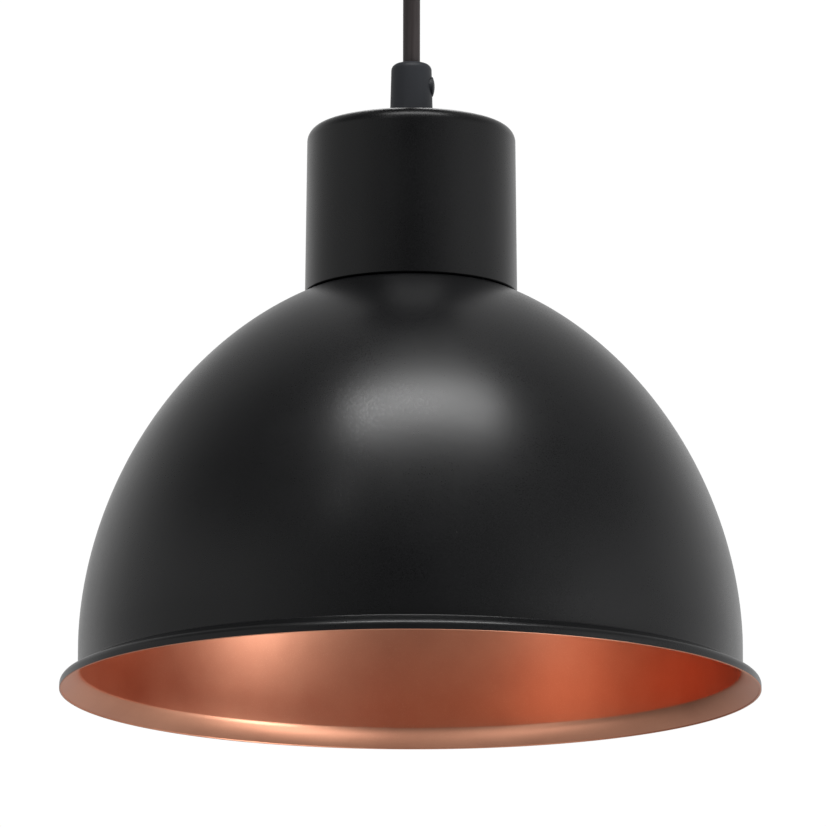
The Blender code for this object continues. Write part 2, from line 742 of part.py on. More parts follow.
PLATE_OFFSET = 10 * MM
PLATE_SIZE = (8 * MM, 7 * MM, 0.9 * MM)
PLATE_SCREW = (1.3 * MM, 5 * MM)
PLATE_SCREW_HEAD = (2.6 * MM, 1.6 * MM)
DISC_TOP = DISC_FOOT + INSERT_DISC_THICKNESS


def contact_carrier():
    """The steatite disc in the lampholder, its two terminals and its two contacts."""
    radius = HOLDER_RADIUS - HOLDER_WALL - GAP
    disc = turned(
        "contact_carrier",
        [(0, DISC_TOP), (radius, DISC_TOP), (radius, DISC_FOOT), (0, DISC_FOOT)],
        STEATITE,
        TILT,
        steps=MEDIUM,
        closed=False,
    )
    plate_z = DISC_TOP + GAP
    for number, side in ((1, -1), (2, 1)):
        y = side * PLATE_OFFSET
        half = Vector(PLATE_SIZE) / 2
        centre = Vector((0, y, plate_z + half.z))
        plate = block(f"terminal_plate_{number}", centre - half, centre + half, BRASS, TILT)
        bore = PLATE_SCREW[0] + THREAD_CLEARANCE
        ends = ((0, y, plate_z - MM), (0, y, plate_z + 3 * MM))
        hole_through(plate, f"plate_hole_{number}", bore, *ends)
        ends = ((0, y, DISC_TOP - PLATE_SCREW[1]), (0, y, DISC_TOP + MM))
        hole_through(disc, f"disc_hole_{number}", bore, *ends)
        sizes = (PLATE_SCREW_HEAD, PLATE_SCREW)
        screw = slotted_screw(f"holder_screw_{number}", *sizes, BRASS, TILT, slot=0.6 * MM)
        screw.location = (0, y, plate_z + PLATE_SIZE[2] + GAP)
    return disc


def bent_strip(name, path, width, thickness, surface, group):
    """A strip bent along (x, z) points, width across Y, with its thickness added above."""
    mesh = bpy.data.meshes.new(name)
    points = [(x, y, z) for x, z in path for y in (-width / 2, width / 2)]
    faces = [(2 * i, 2 * i + 2, 2 * i + 3, 2 * i + 1) for i in range(len(path) - 1)]
    mesh.from_pydata(points, [], faces)
    strip = object_of(name, mesh, PARTS)
    sheet = strip.modifiers.new("sheet", "SOLIDIFY")
    sheet.thickness = thickness
    sheet.offset = -1
    sheet.use_even_offset = True
    return place(strip, surface, group)


def contacts():
    """The sprung tongue under the carrier that meets the bulb's tip, and the side contact beside it."""
    thickness = 0.5 * MM
    under = DISC_FOOT - GAP
    touch = BULB_TOP + GAP + thickness
    tongue = [
        (-10 * MM, under),
        (-6.5 * MM, under),
        (-3.5 * MM, (under + touch) / 2),
        (-1.5 * MM, touch),
        (1.5 * MM, touch),
        (4 * MM, touch + 0.9 * MM),
    ]
    bent_strip("centre_contact", tongue, 5 * MM, thickness, BRASS, TILT)
    reach = LINER_RADIUS - LINER_WALL - 0.5 * MM
    side = [(6.5 * MM, under), (reach - 1.5 * MM, under), (reach - 0.6 * MM, under - 1.3 * MM)]
    return bent_strip("side_contact", side, 4 * MM, thickness, BRASS, TILT)


def shade_ring():
    """The ring on the lampholder's skirt that clamps the shade."""
    top = SHADE_TOP - SHADE_WALL - GAP
    foot = top - RING_HEIGHT
    bore = SKIRT_RADIUS + THREAD_CLEARANCE
    edge = 1.2 * MM
    outline = [
        (RING_RADIUS, top),
        (RING_RADIUS, foot + edge),
        (RING_RADIUS - edge, foot),
        (bore, foot),
        (bore, top),
    ]
    return turned("shade_ring", outline, BLACK_PLASTIC, TILT, steps=MEDIUM)


LAMP_SHEATH_END = HOLDER_TOP - HOLDER_NECK_LENGTH - HOLDER_WALL - 1.5 * MM


def lamp_wiring():
    """The cord's sheath inside the lamp's grip, and its two cores down to the lampholder's terminals."""
    high = TILT_PIVOT - CORD_RADIUS - GAP
    rod("lamp_cord_tail", CORD_RADIUS, (0, 0, high), (0, 0, LAMP_SHEATH_END), CORD_SHEATH, TILT)
    start = LAMP_SHEATH_END - GAP
    end_z = DISC_TOP + GAP + CORE_RADIUS + 0.2 * MM
    for label, side, surface in (("brown", -1, BROWN_CORE), ("blue", 1, BLUE_CORE)):
        end_y = side * (PLATE_OFFSET - PLATE_SIZE[1] / 2 - GAP)
        drop = end_z - start
        route = [
            Vector((0, side * CORE_OFFSET, start)),
            Vector((0, side * CORE_OFFSET, start + 0.2 * drop)),
            Vector((0, side * 2.6 * MM, start + 0.5 * drop)),
            Vector((0, side * 3.6 * MM, start + 0.8 * drop)),
            Vector((0, end_y - side * 1.5 * MM, end_z + 0.6 * MM)),
            Vector((0, end_y, end_z)),
        ]
        wire(f"lamp_core_{label}", smooth(route, 15), CORE_RADIUS, surface, TILT)


# ---------------------------------------------------------------- bulb
def bulb_base():
    """The bulb's tip contact, insulator and screw cap."""
    turned(
        "bulb_contact",
        [
            (0, BULB_TOP),
            (CONTACT_RADIUS * 0.6, BULB_TOP - 0.15 * MM),
            (CONTACT_RADIUS, BULB_TOP - 0.7 * MM),
            (CONTACT_RADIUS, BULB_TOP - CONTACT_HEIGHT),
            (0, BULB_TOP - CONTACT_HEIGHT),
        ],
        NICKEL,
        BULB_AXIS,
        closed=False,
    )
    top = BULB_TOP - CONTACT_HEIGHT - GAP
    turned(
        "bulb_insulator",
        [
            (0, top),
            (CONTACT_RADIUS + 0.8 * MM, top),
            (BULB_CAP_RADIUS - 2.6 * MM, top - INSULATOR_HEIGHT),
            (0, top - INSULATOR_HEIGHT),
        ],
        DARK_GLASS,
        BULB_AXIS,
        closed=False,
    )
    foot = CAP_TOP - BULB_CAP_HEIGHT
    wall = BULB_CAP_WALL
    turned(
        "bulb_cap",
        [
            (BULB_CAP_RADIUS - 2.4 * MM, CAP_TOP),
            (BULB_CAP_RADIUS, CAP_TOP - 2.6 * MM),
            (BULB_CAP_RADIUS, foot + 3.4 * MM),
            (BULB_CAP_RADIUS + 0.5 * MM, foot),
        ],
        NICKEL,
        BULB_AXIS,
        steps=MEDIUM,
        closed=False,
        wall=wall,
    )


def bulb_glass():
    """The pear-shaped glass, open at its neck, which sits in the cap."""
    neck_top = CAP_TOP - 9 * MM
    neck_foot = CAP_TOP - BULB_CAP_HEIGHT - 1.5 * MM
    centre = BULB_FOOT + BULB_RADIUS
    lean = 38  # degrees above the horizontal where the globe meets the shoulder
    globe = arc((0, centre), BULB_RADIUS, lean, -90, 9)
    joint_r, joint_z = globe[0]
    shoulder = []
    steps = 4
    for i in range(steps):
        t = i / steps
        a = (BULB_NECK_RADIUS, neck_foot)
        b = (BULB_NECK_RADIUS + 0.8 * MM, neck_foot - 9 * MM)
        rise = (neck_foot - joint_z) * 0.4
        c = (joint_r - rise * math.tan(math.radians(lean)), joint_z + rise)
        d = (joint_r, joint_z)
        weights = ((1 - t) ** 3, 3 * t * (1 - t) ** 2, 3 * t**2 * (1 - t), t**3)
        shoulder.append(tuple(sum(w * p[k] for w, p in zip(weights, (a, b, c, d))) for k in (0, 1)))
    outline = [(BULB_NECK_RADIUS, neck_top), *shoulder, *globe[:-1], (0, BULB_FOOT)]
    return turned(
        "bulb_glass", outline, CLEAR_GLASS, BULB_AXIS, steps=MEDIUM, closed=False, wall=BULB_GLASS
    )


HUB_Z = FILAMENT_TOP - FILAMENT_LENGTH
STEM_FLARE_RADIUS = BULB_NECK_RADIUS - BULB_GLASS - GAP
STEM_PINCH_RADIUS = 3.8 * MM


def bulb_stem():
    """The glass mount inside the bulb, with the post that carries the filaments."""
    flare_z = CAP_TOP - 12 * MM
    outline = [
        (0, flare_z),
        (STEM_FLARE_RADIUS, flare_z),
        (STEM_FLARE_RADIUS - MM, flare_z - 2 * MM),
        (STEM_PINCH_RADIUS + 0.8 * MM, flare_z - 8 * MM),
        (STEM_PINCH_RADIUS, FILAMENT_TOP + 3 * MM),
        (1.5 * MM, FILAMENT_TOP + 1.5 * MM),
        (1.2 * MM, HUB_Z),
        (0, HUB_Z),
    ]
    return turned("bulb_stem", outline, CLEAR_GLASS, BULB_AXIS, steps=MEDIUM, closed=False)


def filaments():
    """Four rods round the post, the two leads over them and the cross below that joins their feet."""
    for i in range(FILAMENT_COUNT):
        turn = Matrix.Rotation(math.radians(45) + 2 * math.pi * i / FILAMENT_COUNT, 4, "Z")
        rod(
            f"filament_{i + 1}",
            FILAMENT_RADIUS,
            turn @ Vector((FILAMENT_TOP_OFFSET, 0, FILAMENT_TOP)),
            turn @ Vector((FILAMENT_FOOT_OFFSET, 0, HUB_Z)),
            PHOSPHOR,
            BULB_AXIS,
            steps=12,
        )
    level = FILAMENT_TOP + GAP + LEAD_RADIUS
    at_stem = STEM_PINCH_RADIUS + GAP + LEAD_RADIUS
    for number, side in ((1, 1), (2, -1)):
        path = []
        for step in range(-3, 4):
            from_stem = abs(step) / 3
            radius = at_stem + (FILAMENT_TOP_OFFSET - at_stem) * from_stem
            angle = math.radians(48 * step / 3)
            z = level + 3.2 * MM * (1 - from_stem**2)
            path.append((side * radius * math.cos(angle), radius * math.sin(angle), z))
        wire(f"filament_lead_{number}", path, LEAD_RADIUS, NICKEL, BULB_AXIS)
    top = HUB_Z - GAP
    reach = FILAMENT_FOOT_OFFSET + FILAMENT_RADIUS
    bars = []
    for name, collection, angle in (("filament_hub", PARTS, 45), ("filament_hub_bar", CUTTERS, 135)):
        turn = Matrix.Rotation(math.radians(angle), 4, "Z")
        z = top - LEAD_RADIUS
        ends = [turn @ Vector((d * reach, 0, z)) for d in (-1, 1)]
        bars.append(rod(name, LEAD_RADIUS, *ends, NICKEL, BULB_AXIS, steps=8, collection=collection))
    return cut(bars[0], bars[1], "UNION")


def build():
    mounting_strap()
    canopy()
    canopy_screws()
    cord_grip("canopy_grip", CANOPY_BASE - GAP, up=False)
    clamp_screw("canopy_grip_screw", CANOPY_BASE - GAP, up=False)
    washer_and_nut("canopy", CANOPY_BASE + CANOPY_WALL, up=True)
    terminal_block()
    canopy_wiring()
    suspension_cord()
    cord_grip("lamp_grip", LAMP_TOP + GAP, True, TILT)
    clamp_screw("lamp_grip_screw", LAMP_TOP + GAP, True, TILT)
    washer_and_nut("lamp", LAMP_TOP - COVER_WALL, False, TILT)
    cover()
    shade()
    holder_cap()
    holder_body()
    holder_liner()
    contact_carrier()
    contacts()
    shade_ring()
    lamp_wiring()
    bulb_base()
    bulb_glass()
    bulb_stem()
    filaments()


build()
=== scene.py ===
"""The looks of the pendant ceiling light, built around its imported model."""

import math

import bpy
import numpy as np
from mathutils import Matrix, Vector

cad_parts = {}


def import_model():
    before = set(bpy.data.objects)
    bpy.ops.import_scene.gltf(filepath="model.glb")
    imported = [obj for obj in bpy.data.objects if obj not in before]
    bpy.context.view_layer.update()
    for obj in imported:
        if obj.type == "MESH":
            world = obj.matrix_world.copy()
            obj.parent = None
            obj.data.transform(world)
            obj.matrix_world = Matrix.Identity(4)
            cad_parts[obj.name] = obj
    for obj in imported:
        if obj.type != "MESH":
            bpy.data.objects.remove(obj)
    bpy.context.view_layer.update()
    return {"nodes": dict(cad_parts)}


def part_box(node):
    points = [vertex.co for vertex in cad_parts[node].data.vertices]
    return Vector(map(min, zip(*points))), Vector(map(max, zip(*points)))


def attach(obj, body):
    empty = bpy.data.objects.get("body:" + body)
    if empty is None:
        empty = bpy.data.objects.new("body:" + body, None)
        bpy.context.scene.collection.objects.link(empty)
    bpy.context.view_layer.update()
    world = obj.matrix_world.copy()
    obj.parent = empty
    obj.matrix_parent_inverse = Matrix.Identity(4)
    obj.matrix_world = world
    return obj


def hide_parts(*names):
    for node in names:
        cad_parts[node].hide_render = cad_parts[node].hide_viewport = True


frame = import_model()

MM = 0.001
GAP = 0.3 * MM  # between two pieces that are put together

# Steps round a turned piece
FINE = 256
MEDIUM = 128
SMALL = 64
RIBBED = 288

# Angles over which a turned piece's edges stay sharp
CREASE = 35
LOOSE_CREASE = 50
GLASS_CREASE = 60
CUT_CREASE = 32


# ---------------------------------------------------------------- camera
CAMERA_DISTANCE = 2.5
CAMERA_ELEVATION = math.radians(-11.77)
CAMERA_ROLL = math.radians(0.1)
CAMERA_TARGET = Vector((0.0008, 0, -0.2337))
LENS = 360.9
SENSOR = 36


def add_camera():
    away = Vector((0, -math.cos(CAMERA_ELEVATION), math.sin(CAMERA_ELEVATION)))
    data = bpy.data.cameras.new("camera")
    data.lens = LENS
    data.sensor_width = SENSOR
    data.clip_start = 0.1
    data.clip_end = 100
    camera = bpy.data.objects.new("camera", data)
    bpy.context.collection.objects.link(camera)
    camera.location = CAMERA_TARGET + CAMERA_DISTANCE * away
    aim = (-away).to_track_quat("-Z", "Y").to_matrix().to_4x4()
    roll = Matrix.Rotation(CAMERA_ROLL, 4, "Z")
    camera.rotation_euler = (aim @ roll).to_euler()
    bpy.context.scene.camera = camera


add_camera()


# ---------------------------------------------------------------- where the parts are
def top(node):
    return float(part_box(node)[1][2])


def foot(node):
    return float(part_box(node)[0][2])


LAMP_TOP = top("lampholder_cover")
COVER_FOOT = foot("lampholder_cover")
SHADE_TOP = top("shade")
CANOPY_BASE = foot("canopy")

# The cord's two hinges, in the mouths of its grips
SWING_PIVOT = -45.3 * MM
TILT_PIVOT = -125.3 * MM

CORD_RADIUS = 2.6 * MM
BORE_RADIUS = CORD_RADIUS + GAP
SPIGOT_RADIUS = 5 * MM
SPIGOT_HOLE = SPIGOT_RADIUS + GAP


# ---------------------------------------------------------------- node materials
NOISE_RANGE = (0.3, 0.7)

# The sockets of a Mix node that mixes colours
MIX_FACTOR, MIX_A, MIX_B = 0, 6, 7
MIX_RESULT = 2


class Nodes:
    """A small helper to write node trees."""

    def __init__(self, tree):
        self.tree = tree

    def add(self, kind, inputs=None, **settings):
        node = self.tree.nodes.new(kind)
        for key, value in settings.items():
            setattr(node, key, value)
        for key, value in (inputs or {}).items():
            if isinstance(value, bpy.types.NodeSocket):
                self.tree.links.new(value, node.inputs[key])
            else:
                node.inputs[key].default_value = value
        return node

    def math(self, operation, *values):
        inputs = dict(enumerate(values))
        return self.add("ShaderNodeMath", inputs, operation=operation).outputs[0]

    def ramp(self, value, stops, interpolation="LINEAR"):
        node = self.add("ShaderNodeValToRGB", {"Fac": value})
        ramp = node.color_ramp
        ramp.interpolation = interpolation
        while len(ramp.elements) < len(stops):
            ramp.elements.new(0.5)
        for element, (position, colour) in zip(ramp.elements, stops):
            element.position = position
            if not isinstance(colour, (tuple, list)):
                colour = (colour, colour, colour)
            element.color = (*colour, 1)
        return node.outputs["Color"]

    def map(self, value, low, high, to_low, to_high, smooth=False):
        inputs = {
            "Value": value,
            "From Min": low,
            "From Max": high,
            "To Min": to_low,
            "To Max": to_high,
        }
        node = self.add("ShaderNodeMapRange", inputs)
        if smooth:
            node.interpolation_type = "SMOOTHSTEP"
        return node.outputs["Result"]

    def spread(self, noise, to_low, to_high):
        """Stretches a noise, which keeps mostly within NOISE_RANGE, from one value to another."""
        return self.map(noise, *NOISE_RANGE, to_low, to_high)

    def uneven(self, coarse, low, high, fine, play):
        """A value from low to high with a coarse noise, give or take some play with a fine one."""
        return self.math("ADD", self.spread(coarse, low, high), self.spread(fine, -play, play))

    def mix(self, factor, a, b):
        """Mixes two colours, given as sockets or as (r, g, b)."""
        inputs = {MIX_FACTOR: factor}
        for index, value in ((MIX_A, a), (MIX_B, b)):
            inputs[index] = value if isinstance(value, bpy.types.NodeSocket) else (*value, 1)
        return self.add("ShaderNodeMix", inputs, data_type="RGBA").outputs[MIX_RESULT]

    def coordinates(self, stretch=(1, 1, 1)):
        source = self.add("ShaderNodeTexCoord").outputs["Object"]
        inputs = {"Vector": source, "Scale": stretch}
        return self.add("ShaderNodeMapping", inputs).outputs["Vector"]

    def link(self, value, socket):
        self.tree.links.new(value, socket)

    def seen(self):
        """1 for rays that come from the camera, straight or through glass, and 0 for the rest."""
        path = self.add("ShaderNodeLightPath")
        camera, glass_ray = path.outputs["Is Camera Ray"], path.outputs["Is Transmission Ray"]
        return self.math("MAXIMUM", camera, glass_ray)

    def noise(self, where, scale, detail=2.0, roughness=0.5):
        inputs = {"Vector": where, "Scale": scale, "Detail": detail, "Roughness": roughness}
        return self.add("ShaderNodeTexNoise", inputs).outputs["Fac"]


def empty_tree(owner):
    """Clears the node tree of a new material or world."""
    owner.use_nodes = True
    owner.node_tree.nodes.clear()
    return Nodes(owner.node_tree)


def surface(name):
    material = bpy.data.materials.new(name)
    nodes = empty_tree(material)
    shader = nodes.add("ShaderNodeBsdfPrincipled")
    output = nodes.add("ShaderNodeOutputMaterial")
    nodes.link(shader.outputs[0], output.inputs["Surface"])
    return material, nodes, shader


def bump(nodes, shader, height, distance, before=None):
    inputs = {"Height": height, "Distance": distance, "Strength": 1.0}
    if before is not None:
        inputs["Normal"] = before
    normal = nodes.add("ShaderNodeBump", inputs).outputs["Normal"]
    nodes.link(normal, shader.inputs["Normal"])
    return normal


def glow_through(shader, weight, depth):
    """Lets light into the material, to that depth."""
    shader.inputs["Subsurface Weight"].default_value = weight
    shader.inputs["Subsurface Scale"].default_value = depth


def specks(nodes, where, scale, size, share):
    """Sparse round dots: 1 inside them. size is in cells, share is how many cells have one."""
    inputs = {"Vector": where, "Scale": scale, "Randomness": 1.0}
    cells = nodes.add("ShaderNodeTexVoronoi", inputs)
    dot = nodes.map(cells.outputs["Distance"], size * 0.5, size, 1.0, 0.0, smooth=True)
    pick = nodes.add("ShaderNodeSeparateColor", {"Color": cells.outputs["Color"]}).outputs[0]
    chosen = nodes.math("LESS_THAN", pick, share)
    return nodes.math("MULTIPLY", dot, chosen)


DUST_ON_PAINT = (0.35, 0.34, 0.32)
DUST_ON_GLASS = (0.6, 0.58, 0.54)
DUST_HEIGHT = 0.04 * MM


def paint(name, dark, light, roughness, spread, orange_peel, dust=0.03):
    """Sprayed powder coat: orange peel, fine grain, cloudy gloss, a few specks of dust."""
    material, nodes, shader = surface(name)
    where = nodes.coordinates()
    clouds = nodes.noise(where, 26.0, 4.0, 0.6)
    grain = nodes.noise(where, 2600.0, 2.0, 0.6)
    tone = nodes.mix(nodes.spread(clouds, 0, 1), dark, light)
    sparkle = tuple(2.2 * c for c in light)
    tone = nodes.mix(nodes.map(grain, 0.35, 0.75, 0.0, 0.45), tone, sparkle)
    dots = specks(nodes, where, 150.0, 0.035, dust)
    tone = nodes.mix(nodes.math("MULTIPLY", dots, 0.3), tone, DUST_ON_PAINT)
    nodes.link(tone, shader.inputs["Base Color"])
    rough = nodes.uneven(clouds, roughness - spread, roughness + spread, grain, 0.04)
    nodes.link(rough, shader.inputs["Roughness"])
    peel = nodes.noise(where, 420.0, 2.0, 0.45)
    first = bump(nodes, shader, peel, orange_peel)
    second = bump(nodes, shader, grain, orange_peel * 0.22, first)
    bump(nodes, shader, dots, DUST_HEIGHT, second)
    return material


def moulded(name, dark, light, roughness, texture=0.01 * MM, scale=1500.0, subsurface=0.0):
    """Moulded plastic or ceramic with a fine spark-eroded texture and faint flow marks."""
    material, nodes, shader = surface(name)
    where = nodes.coordinates()
    flow = nodes.noise(nodes.coordinates((60, 60, 14)), 1.0, 3.0, 0.6)
    grain = nodes.noise(where, scale, 3.0, 0.6)
    tone = nodes.mix(nodes.spread(flow, 0, 1), dark, light)
    nodes.link(tone, shader.inputs["Base Color"])
    play = 0.05
    rough = nodes.uneven(flow, roughness - play, roughness + play, grain, play)
    nodes.link(rough, shader.inputs["Roughness"])
    bump(nodes, shader, grain, texture)
    if subsurface:
        glow_through(shader, subsurface, MM)
    return material


def metal(name, dark, light, roughness, stretch=(1, 1, 1), scratch=0.004 * MM, scale=900.0):
    """Plated or drawn metal with stains, fine drawing lines and handling marks."""
    material, nodes, shader = surface(name)
    where = nodes.coordinates(stretch)
    stains = nodes.noise(nodes.coordinates(), 180.0, 4.0, 0.65)
    lines = nodes.noise(where, scale, 3.0, 0.7)
    tone = nodes.mix(nodes.map(stains, 0.3, 0.75, 0, 1), light, dark)
    nodes.link(tone, shader.inputs["Base Color"])
    shader.inputs["Metallic"].default_value = 1.0
    rough = nodes.uneven(stains, roughness - 0.06, roughness + 0.09, lines, 0.06)
    nodes.link(rough, shader.inputs["Roughness"])
    bump(nodes, shader, lines, scratch)
    return material


COPPER_DARK = (0.74, 0.33, 0.21)
COPPER_LIGHT = (0.82, 0.39, 0.25)
COPPER_FLAKE = (0.98, 0.62, 0.42)
COPPER_ROUGHNESS = 0.36


def copper_paint():
    """Satin metallic copper paint: fine flakes, a cloudy spray and spinning rings under it."""
    material, nodes, shader = surface("copper_paint")
    where = nodes.coordinates()
    clouds = nodes.noise(where, 34.0, 4.0, 0.6)
    flakes = nodes.noise(where, 3200.0, 2.0, 0.7)
    rings = nodes.noise(nodes.coordinates((3, 3, 700)), 1.0, 2.0, 0.5)
    tone = nodes.mix(nodes.spread(clouds, 0, 1), COPPER_DARK, COPPER_LIGHT)
    tone = nodes.mix(nodes.map(flakes, 0.55, 0.8, 0.0, 0.35), tone, COPPER_FLAKE)
    nodes.link(tone, shader.inputs["Base Color"])
    shader.inputs["Metallic"].default_value = 1.0
    low, high = COPPER_ROUGHNESS - 0.03, COPPER_ROUGHNESS + 0.04
    rough = nodes.uneven(clouds, low, high, flakes, 0.05)
    nodes.link(rough, shader.inputs["Roughness"])
    first = bump(nodes, shader, rings, 0.0025 * MM)
    bump(nodes, shader, flakes, 0.0035 * MM, first)
    return material


SHEATH_DARK = (0.040, 0.031, 0.031)
SHEATH_LIGHT = (0.062, 0.050, 0.050)


def sheath():
    """The cord's PVC sheath: faint lines along it and a waxy gloss."""
    material, nodes, shader = surface("cord_sheath")
    lines = nodes.noise(nodes.coordinates((1400, 1400, 30)), 1.0, 3.0, 0.6)
    grain = nodes.noise(nodes.coordinates(), 2400.0, 2.0, 0.5)
    tone = nodes.mix(nodes.spread(lines, 0, 1), SHEATH_DARK, SHEATH_LIGHT)
    nodes.link(tone, shader.inputs["Base Color"])
    nodes.link(nodes.spread(lines, 0.42, 0.58), shader.inputs["Roughness"])
    first = bump(nodes, shader, lines, 0.012 * MM)
    bump(nodes, shader, grain, 0.006 * MM, first)
    return material


def glass(name, tint, ior=1.5):
    """Blown glass: clear, with a faint ripple and a few specks of dust."""
    material, nodes, shader = surface(name)
    where = nodes.coordinates()
    ripple = nodes.noise(where, 45.0, 2.0, 0.5)
    dots = specks(nodes, where, 260.0, 0.05, 0.05)
    tone = nodes.mix(nodes.math("MULTIPLY", dots, 0.6), tint, DUST_ON_GLASS)
    nodes.link(tone, shader.inputs["Base Color"])
    shader.inputs["Transmission Weight"].default_value = 1.0
    shader.inputs["IOR"].default_value = ior
    rough = nodes.math(
        "ADD", nodes.spread(ripple, 0.0, 0.025), nodes.math("MULTIPLY", dots, 0.4)
    )
    nodes.link(rough, shader.inputs["Roughness"])
    bump(nodes, shader, ripple, 0.06 * MM)
    return material


PHOSPHOR_DARK = (0.75, 0.42, 0.07)
PHOSPHOR_MIDDLE = (0.9, 0.62, 0.16)
PHOSPHOR_LIGHT = (0.95, 0.75, 0.3)


def phosphor():
    """The filament's yellow silicone over its row of tiny diodes."""
    material, nodes, shader = surface("phosphor")
    where = nodes.coordinates()
    inputs = {"Vector": where, "Scale": 250.0, "Distortion": 0.4}
    bands = nodes.add("ShaderNodeTexWave", inputs, bands_direction="Z").outputs["Fac"]
    grain = nodes.noise(where, 1800.0, 3.0, 0.6)
    tone = nodes.mix(nodes.map(bands, 0.2, 0.8, 0, 1), PHOSPHOR_DARK, PHOSPHOR_MIDDLE)
    tone = nodes.mix(nodes.map(grain, 0.4, 0.8, 0, 0.4), tone, PHOSPHOR_LIGHT)
    nodes.link(tone, shader.inputs["Base Color"])
    nodes.link(nodes.spread(grain, 0.38, 0.6), shader.inputs["Roughness"])
    glow_through(shader, 0.25, 0.6 * MM)
    bump(nodes, shader, grain, 0.03 * MM)
    return material


MATERIALS = {
    "black_paint": paint(
        "black_paint", (0.0042, 0.0044, 0.0050), (0.0072, 0.0074, 0.0082), 0.31, 0.025, 0.012 * MM
    ),
    "copper_paint": copper_paint(),
    "black_plastic": moulded(
        "black_plastic", (0.026, 0.029, 0.036), (0.037, 0.041, 0.049), 0.56, 0.012 * MM
    ),
    "cord_sheath": sheath(),
    "zinc_steel": metal("zinc_steel", (0.42, 0.42, 0.41), (0.66, 0.67, 0.68), 0.34, (1, 9, 9)),
    "brass": metal("brass", (0.5, 0.33, 0.13), (0.78, 0.57, 0.27), 0.3),
    "nickel": metal("nickel", (0.5, 0.49, 0.47), (0.74, 0.73, 0.7), 0.26, (1, 1, 6)),
    "white_nylon": moulded(
        "white_nylon", (0.66, 0.65, 0.6), (0.8, 0.79, 0.75), 0.42, 0.01 * MM, 900.0, 0.2
    ),
    "steatite": moulded(
        "steatite", (0.72, 0.69, 0.61), (0.83, 0.81, 0.75), 0.55, 0.03 * MM, 600.0
    ),
    "brown_core": moulded("brown_core", (0.13, 0.05, 0.022), (0.21, 0.085, 0.04), 0.4),
    "blue_core": moulded("blue_core", (0.02, 0.09, 0.34), (0.04, 0.15, 0.46), 0.4),
    "clear_glass": glass("clear_glass", (0.97, 0.975, 0.965)),
    "dark_glass": moulded("dark_glass", (0.008, 0.008, 0.01), (0.02, 0.02, 0.024), 0.14),
    "phosphor": phosphor(),
}


# ---------------------------------------------------------------- meshes
def new_piece(name, points, faces, sharp=CREASE):
    mesh = bpy.data.meshes.new(name)
    mesh.from_pydata([tuple(p) for p in points], [], faces)
    mesh.validate()
    mesh.update()
    mesh.shade_smooth()
    mesh.set_sharp_from_angle(angle=math.radians(sharp))
    piece = bpy.data.objects.new(name, mesh)
    bpy.context.collection.objects.link(piece)
    return piece


def area_of(outline):
    """Twice the signed area of (r, z) points."""
    total = 0.0
    for (r0, z0), (r1, z1) in zip(outline, outline[1:] + outline[:1]):
        total += r0 * z1 - r1 * z0
    return total


ON_AXIS = 1e-9


def lathe(name, outline, steps=MEDIUM, radial=None, sharp=CREASE):
    """A closed solid turned from a closed (r, z) outline. Points on the axis become poles.

    radial, if given, takes (r, z, angle) and gives the radius there, for threads and ribs."""
    outline = [tuple(p) for p in outline]
    if area_of(outline) < 0:
        outline.reverse()
    points, rows = [], []
    for r, z in outline:
        if r < ON_AXIS:
            rows.append([len(points)] * steps)
            points.append((0, 0, z))
            continue
        row = []
        for i in range(steps):
            a = 2 * math.pi * i / steps
            at = radial(r, z, a) if radial else r
            row.append(len(points))
            points.append((at * math.cos(a), at * math.sin(a), z))
        rows.append(row)
    faces = []
    for low, high in zip(rows, rows[1:] + rows[:1]):
        for i in range(steps):
            j = (i + 1) % steps
            face = []
            for k in (low[i], low[j], high[j], high[i]):
                if k not in face:
                    face.append(k)
            if len(face) > 2:
                faces.append(face)
    return new_piece(name, points, faces, sharp)


def arc(centre, radius, start, end, count):
    """(r, z) points on an arc. Its angles are in degrees, from +r towards +z."""
    angles = [math.radians(start + (end - start) * i / count) for i in range(count + 1)]
    return [(centre[0] + radius * math.cos(a), centre[1] + radius * math.sin(a)) for a in angles]


def offset(points, distance):
    """The open (r, z) polyline moved to the right of its direction by a distance."""
    path = np.array(points)
    along = np.gradient(path, axis=0)
    steps = np.diff(path, axis=0)
    unit = steps / np.linalg.norm(steps, axis=1)[:, None]
    along[1:-1] = unit[1:] + unit[:-1]
    along[0], along[-1] = unit[0], unit[-1]
    along /= np.linalg.norm(along, axis=1)[:, None]
    right = np.stack([along[:, 1], -along[:, 0]], axis=1)
    return [tuple(p) for p in path + distance * right]


def bezier(control, count):
    """Points on the cubic curve with these four (r, z) control points."""
    points = []
    for i in range(count + 1):
        t = i / count
        weights = ((1 - t) ** 3, 3 * t * (1 - t) ** 2, 3 * t**2 * (1 - t), t**3)
        points.append(tuple(sum(w * p[k] for w, p in zip(weights, control)) for k in (0, 1)))
    return points


def straight(start, end, count):
    """Points on the line between two (r, z) points, both ends included."""
    return [
        tuple(a + (b - a) * i / count for a, b in zip(start, end)) for i in range(count + 1)
    ]


def upright(r, start, end, count):
    """Points on a line parallel to the axis, from one height to another."""
    return straight((r, start), (r, end), count)


def fade(z, low, high, length):
    """1 between two heights, and 0 from there on, with a ramp of that length inside each end."""
    return min(1.0, max(0.0, (z - low) / length), max(0.0, (high - z) / length))


def crest(z, angle, pitch):
    """1 on the crest of a screw thread of that pitch, and 0 at its root."""
    return 0.5 + 0.5 * math.cos(2 * math.pi * (z / pitch + angle / (2 * math.pi)))


def finish_piece(piece, body, slot, *nodes):
    piece.data.materials.clear()
    piece.data.materials.append(MATERIALS[slot])
    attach(piece, body)
    if nodes:
        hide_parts(*nodes)
    return piece


# ---------------------------------------------------------------- the cord
CORD_END_STEPS = 8
CORD_STEPS = 24


